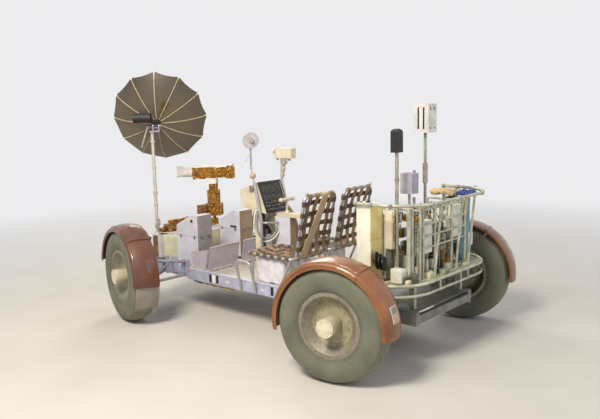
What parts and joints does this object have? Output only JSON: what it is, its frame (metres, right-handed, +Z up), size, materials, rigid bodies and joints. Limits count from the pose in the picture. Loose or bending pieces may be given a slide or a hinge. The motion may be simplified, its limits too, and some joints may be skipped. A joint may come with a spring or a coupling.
{
  "type": "crewed planetary rover",
  "caption": "Open four-wheel electric rover with folding seats, a display console, dish antenna, mast camera and a rear tool rack.",
  "frame": {"origin": "on the ground under the middle of the rover, midway between the four steering pivots", "axes": "+X forward, +Y to the rover's left, +Z up"},
  "size_m": [3.5293, 2.323, 2.2068],
  "materials": {
    "tyre": "matte, slightly dusty",
    "wheel_metal": "satin",
    "drive_grey": "satin",
    "fender_orange": "glossy, translucent resin look",
    "frame_blue_grey": "satin",
    "floor_metal": "brushed",
    "suspension_metal": "satin",
    "white_cover": "soft insulating cover",
    "cream_paint": "satin",
    "tube_metal": "satin",
    "grip": "matte",
    "webbing": "coarse woven strap",
    "bag_white": "woven",
    "bag_teal": "woven",
    "gold_foil": "crinkled metal foil",
    "dish_mesh": "fine gold-plated mesh",
    "rack_paint": "satin",
    "black_paint": "satin",
    "footrest_lilac": "satin"
  },
  "bodies": {
    "chassis": {"aft_frame": "frame_blue_grey", "armrest_pedestal": "cream_paint", "battery_cover": "white_cover", "black_canister": "black_paint", "box_pole": "rack_paint", "camera_mast": "gold_foil", "centre_frame": "frame_blue_grey", "dish_mast": "tube_metal", "display_console": "cream_paint", "equipment_boxes": "white_cover", "film_camera": "gold_foil", "floor_panels": "floor_metal", "forward_frame": "frame_blue_grey", "front_suspension": "suspension_metal", "grey_box": "rack_paint", "hand_controller": "grip", "handholds": "tube_metal", "hooded_pole": "rack_paint", "locker": "rack_paint", "pan_webbing": "webbing", "rack_deck": "rack_paint", "rack_rail": "rack_paint", "rear_bag": "bag_teal", "rear_suspension": "suspension_metal", "relay_unit": "white_cover", "seat_pans": "tube_metal", "side_panels": "footrest_lilac", "toeholds": "tube_metal", "tool_cases": "white_cover", "tool_frame": "rack_paint", "under_seat_bags": "bag_white"},
    "steering_front_left": {"hub_drive_front_left": "drive_grey", "fender_front_left": "fender_orange"},
    "wheel_front_left": {"wheel_disc_front_left": "wheel_metal", "tyre_front_left": "tyre"},
    "steering_front_right": {"hub_drive_front_right": "drive_grey", "fender_front_right": "fender_orange"},
    "wheel_front_right": {"wheel_disc_front_right": "wheel_metal", "tyre_front_right": "tyre"},
    "steering_rear_left": {"hub_drive_rear_left": "drive_grey", "fender_rear_left": "fender_orange"},
    "wheel_rear_left": {"wheel_disc_rear_left": "wheel_metal", "tyre_rear_left": "tyre"},
    "steering_rear_right": {"hub_drive_rear_right": "drive_grey", "fender_rear_right": "fender_orange"},
    "wheel_rear_right": {"wheel_disc_rear_right": "wheel_metal", "tyre_rear_right": "tyre"},
    "left_back": {"left_seat_back": "tube_metal", "left_back_webbing": "webbing"},
    "left_rest": {"left_footrest": "footrest_lilac"},
    "right_back": {"right_seat_back": "tube_metal", "right_back_webbing": "webbing"},
    "right_rest": {"right_footrest": "footrest_lilac"},
    "low_gain_antenna": {"low_gain_head": "cream_paint"},
    "dish_turn_head": {"dish_swivel": "suspension_metal"},
    "dish": {"dish_mesh": "dish_mesh", "dish_feed": "black_paint"},
    "camera_pan": {"camera_pan_unit": "gold_foil"},
    "camera_tilt": {"tv_camera": "gold_foil"}
  },
  "joints": [
    {"name": "steer_front_left", "type": "hinge", "parent": "chassis", "child": "steering_front_left", "pos_m": [1.143, 0.83, 0.409], "axis": [0, 0, 1], "range_deg": [-6, 66]},
    {"name": "spin_front_left", "type": "hinge", "parent": "steering_front_left", "child": "wheel_front_left", "pos_m": [1.16629, 0.91123, 0.409], "axis": [0.2756, 0.9613, 0], "continuous": true},
    {"name": "steer_front_right", "type": "hinge", "parent": "chassis", "child": "steering_front_right", "pos_m": [1.143, -0.83, 0.409], "axis": [0, 0, 1], "range_deg": [-5, 46]},
    {"name": "spin_front_right", "type": "hinge", "parent": "steering_front_right", "child": "wheel_front_right", "pos_m": [1.10863, -0.90719, 0.409], "axis": [0.4067, 0.9135, 0], "continuous": true},
    {"name": "steer_rear_left", "type": "hinge", "parent": "chassis", "child": "steering_rear_left", "pos_m": [-1.143, 0.83, 0.409], "axis": [0, 0, 1], "range_deg": [-61, 11]},
    {"name": "spin_rear_left", "type": "hinge", "parent": "steering_rear_left", "child": "wheel_rear_left", "pos_m": [-1.15912, 0.91295, 0.409], "axis": [-0.1908, 0.9816, 0], "continuous": true},
    {"name": "steer_rear_right", "type": "hinge", "parent": "chassis", "child": "steering_rear_right", "pos_m": [-1.143, -0.83, 0.409], "axis": [0, 0, 1], "range_deg": [-38, 7]},
    {"name": "spin_rear_right", "type": "hinge", "parent": "steering_rear_right", "child": "wheel_rear_right", "pos_m": [-1.11971, -0.91123, 0.409], "axis": [-0.2756, 0.9613, 0], "continuous": true},
    {"name": "left_seat_back_fold", "type": "hinge", "parent": "chassis", "child": "left_back", "pos_m": [-0.4, 0.2475, 0.686], "axis": [0, 1, 0], "range_deg": [0, 100]},
    {"name": "left_footrest_fold", "type": "hinge", "parent": "chassis", "child": "left_rest", "pos_m": [0.716, 0.21, 0.4026], "axis": [0, -1, 0], "range_deg": [0, 78]},
    {"name": "right_seat_back_fold", "type": "hinge", "parent": "chassis", "child": "right_back", "pos_m": [-0.4, -0.2475, 0.686], "axis": [0, 1, 0], "range_deg": [0, 100]},
    {"name": "right_footrest_fold", "type": "hinge", "parent": "chassis", "child": "right_rest", "pos_m": [0.716, -0.21, 0.4026], "axis": [0, -1, 0], "range_deg": [0, 78]},
    {"name": "low_gain_turn", "type": "hinge", "parent": "chassis", "child": "low_gain_antenna", "pos_m": [0.33487, 0.178, 1.49], "axis": [0, 0, 1], "range_deg": [-150, 150]},
    {"name": "dish_azimuth", "type": "hinge", "parent": "chassis", "child": "dish_turn_head", "pos_m": [1.45, 0.371, 1.645], "axis": [0, 0, 1], "range_deg": [-170, 170]},
    {"name": "dish_tilt", "type": "hinge", "parent": "dish_turn_head", "child": "dish", "pos_m": [1.41958, 0.34502, 1.695], "axis": [-0.7604, -0.6494, 0], "range_deg": [-28, 62]},
    {"name": "camera_pan", "type": "hinge", "parent": "chassis", "child": "camera_pan", "pos_m": [1.45, -0.371, 0.876], "axis": [0, 0, 1], "range_deg": [-170, 130]},
    {"name": "camera_tilt", "type": "hinge", "parent": "camera_pan", "child": "camera_tilt", "pos_m": [1.45, -0.371, 1.111], "axis": [0.6561, -0.7547, 0], "range_deg": [-45, 65]}
  ],
  "couplings": [
    {"joint": "steer_front_right", "follows": "steer_front_left", "ratio": 0.69},
    {"joint": "steer_rear_right", "follows": "steer_rear_left", "ratio": 0.62}
  ]
}
